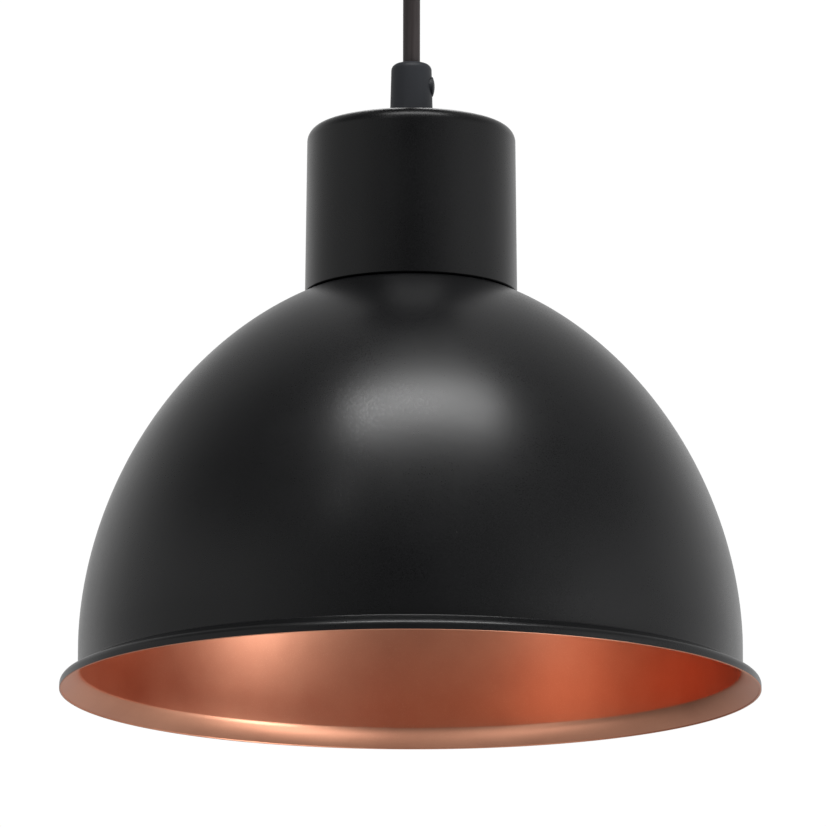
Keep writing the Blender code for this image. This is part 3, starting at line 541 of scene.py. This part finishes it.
def cord():
    """The cord between its two grips. Its round ends sit in their mouths, centred on the pivots."""
    upper = []
    for i in range(CORD_END_STEPS):
        a = math.pi / 2 * (1 - (1 - i / CORD_END_STEPS) ** 1.5)
        upper.append((CORD_RADIUS * math.cos(a), SWING_PIVOT + CORD_RADIUS * math.sin(a)))
    upper.append((0, SWING_PIVOT + CORD_RADIUS))
    side = upright(CORD_RADIUS, SWING_PIVOT, TILT_PIVOT, CORD_STEPS)[1:-1]
    lower = [(r, TILT_PIVOT - (z - SWING_PIVOT)) for r, z in upper]
    piece = lathe("cord_sleeve", [*reversed(upper), *side, *lower], SMALL)
    finish_piece(piece, "cord", "cord_sheath", "suspension_cord")


cord()


# ---------------------------------------------------------------- shade
SHADE_RADIUS = 99.6 * MM
SHADE_CROWN = 115.4 * MM
SHADE_POWER = 1.89
SHADE_TOP_RADIUS = 29.5 * MM
SHADE_STRAIGHT = 7.724 * MM
SHADE_WALL = 0.7 * MM
SHADE_HOLE = 20.2 * MM
FLARE_FILLET = 0.35 * MM
FLARE_ANGLE = math.radians(65)
FLARE_LENGTH = 4.574 * MM
LIP_RADIUS = 2.0 * MM
LIP_DROP = 1.4 * MM
TRUMPET_RISE = 6.0 * MM  # how far above the edge the inside starts to curve out
TRUMPET_START = 1.6 * MM  # the pull of the curve's first end, straight down
TRUMPET_END = (2.6 * MM, 1.5 * MM)  # the pull of its last end, inwards and up
COPPER_WRAP = 0.16 * MM  # how far the copper comes up outside the edge
LINING_GAP = 0.02 * MM
DOME_STEPS = 84


def dome_height(radius):
    return SHADE_CROWN * (1 - (radius / SHADE_RADIUS) ** SHADE_POWER) ** (1 / SHADE_POWER)


def shade_profile():
    """The outside of the shade as (r, z) points, from the hole at its top to its rim's edge."""
    equator = SHADE_TOP - dome_height(SHADE_TOP_RADIUS)
    points = straight((SHADE_HOLE, SHADE_TOP), (SHADE_TOP_RADIUS, SHADE_TOP), 4)[:-1]
    for i in range(DOME_STEPS + 1):
        share = math.sin(math.pi / 2 * i / DOME_STEPS)
        radius = SHADE_TOP_RADIUS + (SHADE_RADIUS - SHADE_TOP_RADIUS) * share
        points.append((radius, equator + dome_height(min(radius, SHADE_RADIUS))))
    points += upright(SHADE_RADIUS, equator, equator - SHADE_STRAIGHT, 6)[1:]

    slope_r, slope_z = math.sin(FLARE_ANGLE), math.cos(FLARE_ANGLE)
    flare = math.degrees(FLARE_ANGLE)
    r, z = points[-1]
    points += arc((r + FLARE_FILLET, z), FLARE_FILLET, 180, 180 + flare, 9)[1:]
    r, z = points[-1]
    end = (r + FLARE_LENGTH * slope_r, z - FLARE_LENGTH * slope_z)
    points += straight((r, z), end, 4)[1:]
    r, z = points[-1]
    centre = (r - LIP_RADIUS * slope_z, z - LIP_RADIUS * slope_r)
    points += arc(centre, LIP_RADIUS, flare, 0, 16)[1:]
    r, z = points[-1]
    points += upright(r, z, z - LIP_DROP, 5)[1:]
    return points


def shade():
    """The black skin outside, and the copper inside, which comes round the rim's edge."""
    outside = shade_profile()
    half = SHADE_WALL / 2
    edge_r, edge_z = outside[-1]
    upper = outside[:-1] + [(edge_r, edge_z + COPPER_WRAP)]
    skin = upper + offset(upper, half)[::-1]
    piece = lathe("shade_skin", skin, FINE, sharp=LOOSE_CREASE)
    finish_piece(piece, "lamp", "black_paint", "shade")

    wall = [p for p in offset(outside, SHADE_WALL) if p[1] > edge_z + TRUMPET_RISE + MM]
    start_r, start_z = SHADE_RADIUS - SHADE_WALL, edge_z + TRUMPET_RISE
    end_r, end_z = edge_r - SHADE_WALL, edge_z + half
    control = (
        (start_r, start_z),
        (start_r, start_z - TRUMPET_START),
        (end_r - TRUMPET_END[0], end_z + TRUMPET_END[1]),
        (end_r, end_z),
    )
    inner = wall + bezier(control, 32)
    round_edge = arc((edge_r - half, edge_z + half), half, 180, 333, 14)
    lining = offset(upper, half + LINING_GAP) + round_edge[::-1] + inner[::-1]
    piece = lathe("shade_lining", lining, FINE, sharp=LOOSE_CREASE)
    finish_piece(piece, "lamp", "copper_paint")


shade()


# ---------------------------------------------------------------- cover over the lampholder
COVER_TOP_RADIUS = 31.6 * MM
COVER_FOOT_RADIUS = 32.1 * MM
COVER_EDGE = 4.2 * MM
COVER_WALL = 0.8 * MM
COVER_BEVEL = 0.22 * MM


def cover():
    corner = arc((COVER_TOP_RADIUS - COVER_EDGE, LAMP_TOP - COVER_EDGE), COVER_EDGE, 90, 0, 20)
    outside = [(r, LAMP_TOP) for r in (SPIGOT_HOLE, 14 * MM, 22 * MM)]
    outside += corner + straight(corner[-1], (COVER_FOOT_RADIUS, COVER_FOOT), 12)[1:]
    inside = offset(outside, COVER_WALL)
    foot_bevel = [
        (COVER_FOOT_RADIUS, COVER_FOOT + COVER_BEVEL),
        (COVER_FOOT_RADIUS - COVER_BEVEL, COVER_FOOT),
    ]
    outline = outside[:-1] + foot_bevel + inside[::-1]
    finish_piece(lathe("cover_shell", outline, FINE), "lamp", "black_paint", "lampholder_cover")


cover()


# ---------------------------------------------------------------- cord grips
GRIP_HEIGHT = 20 * MM
GRIP_BASE = 6.6 * MM
GRIP_TIP = 6.15 * MM
GRIP_CORNER = 2 * MM
GRIP_MOUTH = 4.1 * MM
MOUTH_DEPTH = 2.4 * MM
SPIGOT_LENGTH = 9 * MM
GRIP_BEVEL = 0.25 * MM
CLAMP_DROP = 7 * MM  # from the grip's tip down to its screw
CLAMP_HEAD = 3 * MM  # the screw head's radius
CLAMP_SHANK = 1.6 * MM
CLAMP_PROUD = 0.8 * MM
CLAMP_SEAT = 1.4 * MM
CLAMP_DOME = 0.55 * MM
CLAMP_TURN = math.radians(24)
SLOT_WIDTH = 0.8 * MM


def grip_outline():
    """(r, z) outline of a grip that stands on z 0 and points up."""
    tip = GRIP_HEIGHT
    corner = arc((GRIP_TIP - GRIP_CORNER, tip - GRIP_CORNER), GRIP_CORNER, 90, 0, 12)
    bell = GRIP_MOUTH - BORE_RADIUS
    mouth = []
    for i in range(9):
        a = math.pi / 2 * i / 8
        r = BORE_RADIUS + bell * (1 - math.cos(a))
        mouth.append((r, tip - MOUTH_DEPTH * (1 - math.sin(a))))
    side = straight((GRIP_TIP, tip - GRIP_CORNER), (GRIP_BASE, 0), 8)[1:-1]
    return [
        *corner,
        *side,
        (GRIP_BASE, GRIP_BEVEL),
        (GRIP_BASE - GRIP_BEVEL, 0),
        (SPIGOT_RADIUS, 0),
        (SPIGOT_RADIUS, -SPIGOT_LENGTH),
        (BORE_RADIUS, -SPIGOT_LENGTH),
        *mouth,
    ]


def boolean(piece, cutter):
    """Cuts cutter from piece, applies it and removes the cutter."""
    modifier = piece.modifiers.new("cut", "BOOLEAN")
    modifier.operation = "DIFFERENCE"
    modifier.solver = "EXACT"
    modifier.object = cutter
    graph = bpy.context.evaluated_depsgraph_get()
    made = bpy.data.meshes.new_from_object(piece.evaluated_get(graph))
    piece.modifiers.remove(modifier)
    old = piece.data
    made.name = old.name
    piece.data = made
    bpy.data.objects.remove(cutter)
    made.shade_smooth()
    made.set_sharp_from_angle(angle=math.radians(CUT_CREASE))


def turn_mesh(piece, matrix):
    piece.data.transform(matrix)
    piece.data.update()


def screw_mesh(name, head_radius, head, shank_radius, shank, dome):
    """A slotted screw about +Z: its shank below z 0, its head above, with a dome on top."""
    edge = 0.12 * MM
    crown = []
    for i in range(9):
        t = i / 8
        crown.append(((head_radius - edge) * (1 - t), head + dome * (1 - (1 - t) ** 2)))
    outline = [
        (0, -shank),
        (shank_radius - 0.2 * MM, -shank),
        (shank_radius, -shank + 0.3 * MM),
        (shank_radius, 0),
        (head_radius, 0),
        (head_radius, head - edge),
        *crown,
    ]
    piece = lathe(name, outline, SMALL)
    depth = min(0.75 * head, 1.1 * MM)
    reach = 1.3 * head_radius
    low = (-reach, -SLOT_WIDTH / 2, head - depth + dome / 2)
    high = (reach, SLOT_WIDTH / 2, head + 2 * dome + MM)
    boolean(piece, box_mesh(name + "_slot", low, high))
    return piece


def box_mesh(name, low, high):
    xs, ys, zs = ((low[k], high[k]) for k in range(3))
    points = [(x, y, z) for x in xs for y in ys for z in zs]
    faces = [(0, 1, 3, 2), (4, 6, 7, 5), (0, 4, 5, 1), (2, 3, 7, 6), (0, 2, 6, 4), (1, 5, 7, 3)]
    return new_piece(name, points, faces)


def grip(name, screw_name, seat, up, body, nodes):
    """A cord grip that stands on the seat's height, or hangs from it, with its clamp screw."""
    piece = lathe(name, grip_outline(), MEDIUM)
    level = GRIP_HEIGHT - CLAMP_DROP
    share = level / (GRIP_HEIGHT - GRIP_CORNER)
    seat_x = GRIP_BASE + (GRIP_TIP - GRIP_BASE) * share - CLAMP_SEAT
    pocket_radius, beyond = CLAMP_HEAD + GAP, GRIP_BASE + 2 * MM
    pocket_outline = [(0, seat_x), (pocket_radius, seat_x), (pocket_radius, beyond), (0, beyond)]
    pocket = lathe(name + "_pocket", pocket_outline, SMALL)
    sideways = Matrix.Rotation(math.pi / 2, 4, "Y")
    turn_mesh(pocket, Matrix.Translation((0, 0, level)) @ sideways)
    boolean(piece, pocket)
    head = CLAMP_SEAT + CLAMP_PROUD - GAP - CLAMP_DOME
    shank = seat_x - BORE_RADIUS
    screw = screw_mesh(screw_name, CLAMP_HEAD, head, CLAMP_SHANK, shank, CLAMP_DOME)
    turned = sideways @ Matrix.Rotation(CLAMP_TURN, 4, "Z")
    turn_mesh(screw, Matrix.Translation((seat_x + GAP, 0, level)) @ turned)
    place = Matrix.Translation((0, 0, seat))
    if not up:
        place = place @ Matrix.Rotation(math.pi, 4, "X")
    for made in (piece, screw):
        turn_mesh(made, place)
    finish_piece(piece, body, "black_plastic", nodes[0])
    finish_piece(screw, body, "black_plastic", nodes[1])


grip(
    "lamp_grip_body",
    "lamp_clamp_screw",
    LAMP_TOP + GAP,
    True,
    "lamp",
    ("lamp_grip", "lamp_grip_screw"),
)
grip(
    "canopy_grip_body",
    "canopy_clamp_screw",
    CANOPY_BASE - GAP,
    False,
    "ceiling_rose",
    ("canopy_grip", "canopy_grip_screw"),
)


# ---------------------------------------------------------------- canopy
CANOPY_RADIUS = 50 * MM
CANOPY_EDGE = 4.2 * MM
CANOPY_WALL = 0.8 * MM
SIDE_SCREW_LEVEL = -9 * MM
SIDE_SCREW_TURN = math.radians(35)


def canopy():
    centre = (CANOPY_RADIUS - CANOPY_EDGE, CANOPY_BASE + CANOPY_EDGE)
    corner = arc(centre, CANOPY_EDGE, 0, -90, 20)
    outside = upright(CANOPY_RADIUS, 0, corner[0][1], 10)[:-1] + corner
    outside += [(r, CANOPY_BASE) for r in (30 * MM, 15 * MM, SPIGOT_HOLE)]
    piece = lathe("canopy_shell", outside + offset(outside, CANOPY_WALL)[::-1], FINE)
    finish_piece(piece, "ceiling_rose", "black_paint", "canopy")


def canopy_screws():
    for side, label in ((-1, "left"), (1, "right")):
        sizes = (3.6 * MM, 1.3 * MM, 2 * MM, 7 * MM, 0.6 * MM)
        piece = screw_mesh(f"side_screw_{label}", *sizes)
        sideways = Matrix.Rotation(side * math.pi / 2, 4, "Y")
        turned = sideways @ Matrix.Rotation(SIDE_SCREW_TURN, 4, "Z")
        place = Matrix.Translation((side * (CANOPY_RADIUS + GAP), 0, SIDE_SCREW_LEVEL))
        turn_mesh(piece, place @ turned)
        finish_piece(piece, "ceiling_rose", "nickel", f"canopy_screw_{label}")


canopy()
canopy_screws()


# ---------------------------------------------------------------- lampholder
LAMP_THREAD_PITCH = 3.629 * MM
NEAR = 0.01 * MM


def lampholder():
    """The lampholder's barrel, with the thread for the shade ring on its skirt."""
    cap_foot = foot("lampholder_cap")
    flange_foot = SHADE_TOP + GAP
    skirt_foot = foot("lampholder_body")
    disc_foot = foot("contact_carrier")
    radius, wall = 21.5 * MM, 2.2 * MM
    flange_radius, flange = 25 * MM, 2.7 * MM
    skirt, bore = 19.9 * MM, 14.9 * MM
    edge = 0.4 * MM
    depth, pitch, fade_length = 0.7 * MM, 2.6 * MM, 1.2 * MM
    thread_low, thread_high = skirt_foot + 0.5 * MM, flange_foot - 0.5 * MM
    outline = [
        (radius - edge, cap_foot - GAP),
        (radius, cap_foot - GAP - edge),
        (radius, flange_foot + flange),
        (flange_radius - edge, flange_foot + flange),
        (flange_radius, flange_foot + flange - edge),
        (flange_radius, flange_foot),
        *upright(skirt, flange_foot, skirt_foot + edge, 56),
        (skirt - edge, skirt_foot),
        (bore + edge, skirt_foot),
        (bore, skirt_foot + edge),
        (bore, disc_foot - GAP),
        (radius - wall, disc_foot - GAP),
        (radius - wall, cap_foot - GAP),
    ]

    def thread(r, z, angle):
        if abs(r - skirt) > NEAR:
            return r
        ends = fade(z, thread_low, thread_high, fade_length)
        return r - depth * (1 - crest(z, angle, pitch)) * ends

    piece = lathe("lampholder_barrel", outline, MEDIUM, thread)
    finish_piece(piece, "lamp", "black_plastic", "lampholder_body")


def shade_ring():
    """The clamping ring, with finger ribs round it."""
    high, low = top("shade_ring"), foot("shade_ring")
    radius, bore, edge = 28.5 * MM, 20.2 * MM, 1.2 * MM
    flutes, flute_depth, fade_length = 36, 0.55 * MM, 0.8 * MM
    corner = arc((radius - edge, low + edge), edge, 0, -90, 6)
    outline = [
        (radius - 0.5 * MM, high),
        (radius, high - 0.5 * MM),
        *upright(radius, high - 1.2 * MM, low + edge + 0.4 * MM, 6),
        *corner,
        (bore + 3.6 * MM, low),
        (bore + 3.2 * MM, low + 0.5 * MM),
        (bore + 0.6 * MM, low + 0.5 * MM),
        (bore, low + 1.0 * MM),
        (bore, high),
    ]

    def ribs(r, z, angle):
        if r < radius - NEAR:
            return r
        ends = fade(z, low + edge, high - 0.9 * MM, fade_length)
        return r - flute_depth * ends * max(0.0, math.cos(flutes * angle)) ** 2

    piece = lathe("shade_clamp_ring", outline, RIBBED, ribs)
    finish_piece(piece, "lamp", "black_plastic", "shade_ring")


def liner():
    """The screw shell, rolled with the lamp thread."""
    high, low = top("screw_liner"), foot("screw_liner")
    outer, wall, depth = 14.5 * MM, 0.6 * MM, 0.175 * MM

    def thread(r, z, angle):
        if r < outer - wall / 2:
            return r
        return r - depth * crest(z, angle, LAMP_THREAD_PITCH) * fade(z, low, high, MM)

    outline = upright(outer, high, low, 60) + upright(outer - wall, low, high, 60)
    piece = lathe("screw_shell", outline, MEDIUM, thread)
    finish_piece(piece, "lamp", "brass", "screw_liner")


lampholder()
shade_ring()
liner()


# ---------------------------------------------------------------- bulb
CAP_TOP, CAP_FOOT = top("bulb_cap"), foot("bulb_cap")


def bulb_cap():
    """The bulb's thin metal cap with its lamp thread."""
    radius, wall = 13.1 * MM, 0.5 * MM
    depth, fade_length = 0.8 * MM, 1.2 * MM
    low, high = CAP_FOOT + 3.6 * MM, CAP_TOP - 2.8 * MM
    outside = [
        (radius - 2.4 * MM, CAP_TOP),
        (radius - 1.1 * MM, CAP_TOP - 1.1 * MM),
        (radius - 0.3 * MM, CAP_TOP - 2.1 * MM),
        *upright(radius, high, low, 64),
        (radius + 0.05 * MM, CAP_FOOT + 2.4 * MM),
        (radius + 0.3 * MM, CAP_FOOT + 1.0 * MM),
        (radius + 0.5 * MM, CAP_FOOT),
    ]
    inside = [(r - wall, z) for r, z in outside]

    def thread(r, z, angle):
        root = 1 - crest(z, angle, LAMP_THREAD_PITCH)
        return r - depth * root * fade(z, low, high, fade_length)

    cap = lathe("bulb_screw_cap", outside + inside[::-1], MEDIUM, thread)
    finish_piece(cap, "bulb", "nickel", "bulb_cap")


def bulb_glass():
    """The hollow globe with its neck, joined by a curved shoulder."""
    bulb_foot = foot("bulb_glass")
    globe, neck, glass_wall = 30 * MM, 12.3 * MM, 0.8 * MM
    neck_top, neck_foot = CAP_TOP - 9 * MM, CAP_FOOT - 1.5 * MM
    lean = 38
    sphere = arc((0, bulb_foot + globe), globe, lean, -90, 40)
    joint_r, joint_z = sphere[0]
    rise = (neck_foot - joint_z) * 0.4
    control = (
        (neck, neck_foot),
        (neck + 0.8 * MM, neck_foot - 9 * MM),
        (joint_r - rise * math.tan(math.radians(lean)), joint_z + rise),
        (joint_r, joint_z),
    )
    shoulder = bezier(control, 18)[:-1]
    outside = [(neck, neck_top), *shoulder, *sphere[:-1], (0, bulb_foot)]
    inside = offset(outside, glass_wall)
    inside[-1] = (0, bulb_foot + glass_wall)
    envelope = lathe("bulb_envelope", outside + inside[::-1], MEDIUM, sharp=GLASS_CREASE)
    finish_piece(envelope, "bulb", "clear_glass", "bulb_glass")


bulb_cap()
bulb_glass()


# ---------------------------------------------------------------- the solids that stay
def dress_nodes():
    """Every CAD solid gets the node material with its slot's name."""
    for node in frame["nodes"].values():
        for slot in node.material_slots:
            name = slot.material.name.split(".")[0] if slot.material else ""
            slot.material = MATERIALS.get(name, MATERIALS["black_plastic"])


dress_nodes()


# ---------------------------------------------------------------- studio
BACKDROP = (1.02, 1.02, 1.02)


def world():
    """The room's light by direction. The camera sees a plain bright backdrop instead."""
    made = bpy.data.worlds.new("studio")
    nodes = empty_tree(made)
    direction = nodes.add("ShaderNodeTexCoord").outputs["Generated"]
    part = nodes.add("ShaderNodeSeparateXYZ", {"Vector": direction})
    x, y, z = (part.outputs[k] for k in ("X", "Y", "Z"))
    turn = nodes.math("ARCTAN2", x, nodes.math("MULTIPLY", y, -1.0))
    azimuth = nodes.map(turn, -math.pi, math.pi, 0.0, 1.0)

    def around(stops):
        return nodes.ramp(azimuth, [((d + 180) / 360, value) for d, value in stops], "EASE")

    upper, lower, above = around(UPPER), around(LOWER), around(OVERHEAD)
    high = nodes.mix(nodes.map(z, 0.32, 0.62, 0, 1, smooth=True), upper, above)
    near = nodes.mix(nodes.map(z, -0.02, 0.12, 0, 1, smooth=True), lower, high)
    light = nodes.mix(nodes.map(z, -0.8, -0.5, 0, 1, smooth=True), (BELOW,) * 3, near)
    colour = nodes.mix(nodes.seen(), light, BACKDROP)
    background = nodes.add("ShaderNodeBackground", {"Color": colour, "Strength": 1.0})
    output = nodes.add("ShaderNodeOutputWorld")
    nodes.link(background.outputs[0], output.inputs["Surface"])
    bpy.context.scene.world = made


# Radiance round the horizon, lower down, and overhead, by degrees from the camera's side,
# with the right side positive
UPPER = [
    (-180, 0.95),
    (-152, 0.75),
    (-110, 0.45),
    (-84, 0.44),
    (-62, 0.43),
    (-43, 0.3),
    (-30, 0.19),
    (0, 0.05),
    (30, 0.2),
    (46, 0.36),
    (66, 0.45),
    (88, 0.45),
    (116, 0.55),
    (150, 0.8),
    (180, 0.95),
]
LOWER = [
    (-180, 0.4),
    (-120, 0.12),
    (-90, 0.14),
    (-45, 0.3),
    (0, 0.16),
    (45, 0.3),
    (90, 0.36),
    (180, 0.45),
]
OVERHEAD = [
    (-180, 0.65),
    (-135, 0.33),
    (-90, 0.1),
    (0, 0.2),
    (90, 0.2),
    (135, 0.38),
    (180, 0.65),
]
BELOW = 0.3


def softbox(name, location, size, radiance, aim):
    data = bpy.data.lights.new(name, "AREA")
    data.shape = "RECTANGLE"
    data.size, data.size_y = size
    data.energy = math.pi * size[0] * size[1] * radiance
    light = bpy.data.objects.new(name, data)
    bpy.context.collection.objects.link(light)
    light.location = location
    light.rotation_euler = (Vector(aim) - Vector(location)).to_track_quat("-Z", "Y").to_euler()
    light.visible_camera = False
    return light


def spare(light, *names):
    """Keeps a light off some pieces."""
    off = bpy.data.collections.new(light.name + "_off")
    for name in names:
        off.objects.link(bpy.data.objects[name])
    for entry in off.collection_objects:
        entry.light_linking.link_state = "EXCLUDE"
    light.light_linking.receiver_collection = off


FLOOR_SIZE = 30.0
FLOOR_LEVEL = -7.0


def floor():
    """A wide pale floor far below, for the views from above."""
    around = ((-1, -1), (1, -1), (1, 1), (-1, 1))
    corners = [(FLOOR_SIZE * x, FLOOR_SIZE * y, FLOOR_LEVEL) for x, y in around]
    piece = new_piece("floor", corners, [(0, 1, 2, 3)])
    material = bpy.data.materials.new("floor")
    nodes = empty_tree(material)
    clouds = nodes.noise(nodes.coordinates(), 0.6, 3.0, 0.5)
    tone = nodes.mix(clouds, (0.93, 0.93, 0.925), (0.96, 0.96, 0.958))
    strength = nodes.map(nodes.seen(), 0, 1, BELOW, 1.0)
    glow = nodes.add("ShaderNodeEmission", {"Color": tone, "Strength": strength})
    output = nodes.add("ShaderNodeOutputMaterial")
    nodes.link(glow.outputs[0], output.inputs["Surface"])
    piece.data.materials.append(material)
    piece.visible_diffuse = False
    piece.visible_glossy = False
    piece.visible_shadow = False


def only(light, collection):
    """Lets a light reach the pieces of a collection and nothing else."""
    light.light_linking.receiver_collection = collection


# Each softbox: its name, place, width and height, radiance, and the point it faces
OVERHEAD_BOX = ("overhead_softbox", (0.06, -0.465, 0.76), (0.84, 0.25), 9.8, (0, -0.08, -0.24))
COVER_BOXES = [
    ("cover_softbox", (0.06, -0.48, 0.76), (0.84, 0.32), 4.2, (0, -0.08, -0.24)),
    ("cover_backlight", (0, 0.7, 0.55), (0.4, 0.4), 2.2, (0, 0, -0.15)),
]
PANELS = [
    ("right_panel", (0.85, -0.48, -0.72), (0.38, 0.7), 5.4, (0, 0, -0.31)),
    ("right_lower_panel", (0.6, -0.3, -1.15), (0.36, 0.9), 1.7, (0, 0, -0.31)),
    ("right_under_panel", (0.42, 0.02, -1.25), (0.3, 0.5), 1.5, (0, 0.05, -0.31)),
    ("left_panel", (-0.68, -0.5, -1.0), (0.34, 1.4), 0.6, (0, 0, -0.31)),
    ("left_under_panel", (-0.42, 0.02, -1.25), (0.26, 0.5), 0.9, (0, 0.05, -0.31)),
    ("left_patch", (-0.34, -0.68, 0.3), (0.1, 0.22), 1.1, (-0.02, -0.09, -0.27)),
]


def studio():
    """Places all the lights. The cover has an overhead light and a backlight of its own."""
    spare(softbox(*OVERHEAD_BOX), "cover_shell")
    cover_only = bpy.data.collections.new("cover_only")
    cover_only.objects.link(bpy.data.objects["cover_shell"])
    for box in COVER_BOXES:
        only(softbox(*box), cover_only)
    for box in PANELS:
        softbox(*box)


world()
studio()
floor()
bpy.context.scene.view_settings.view_transform = "Standard"
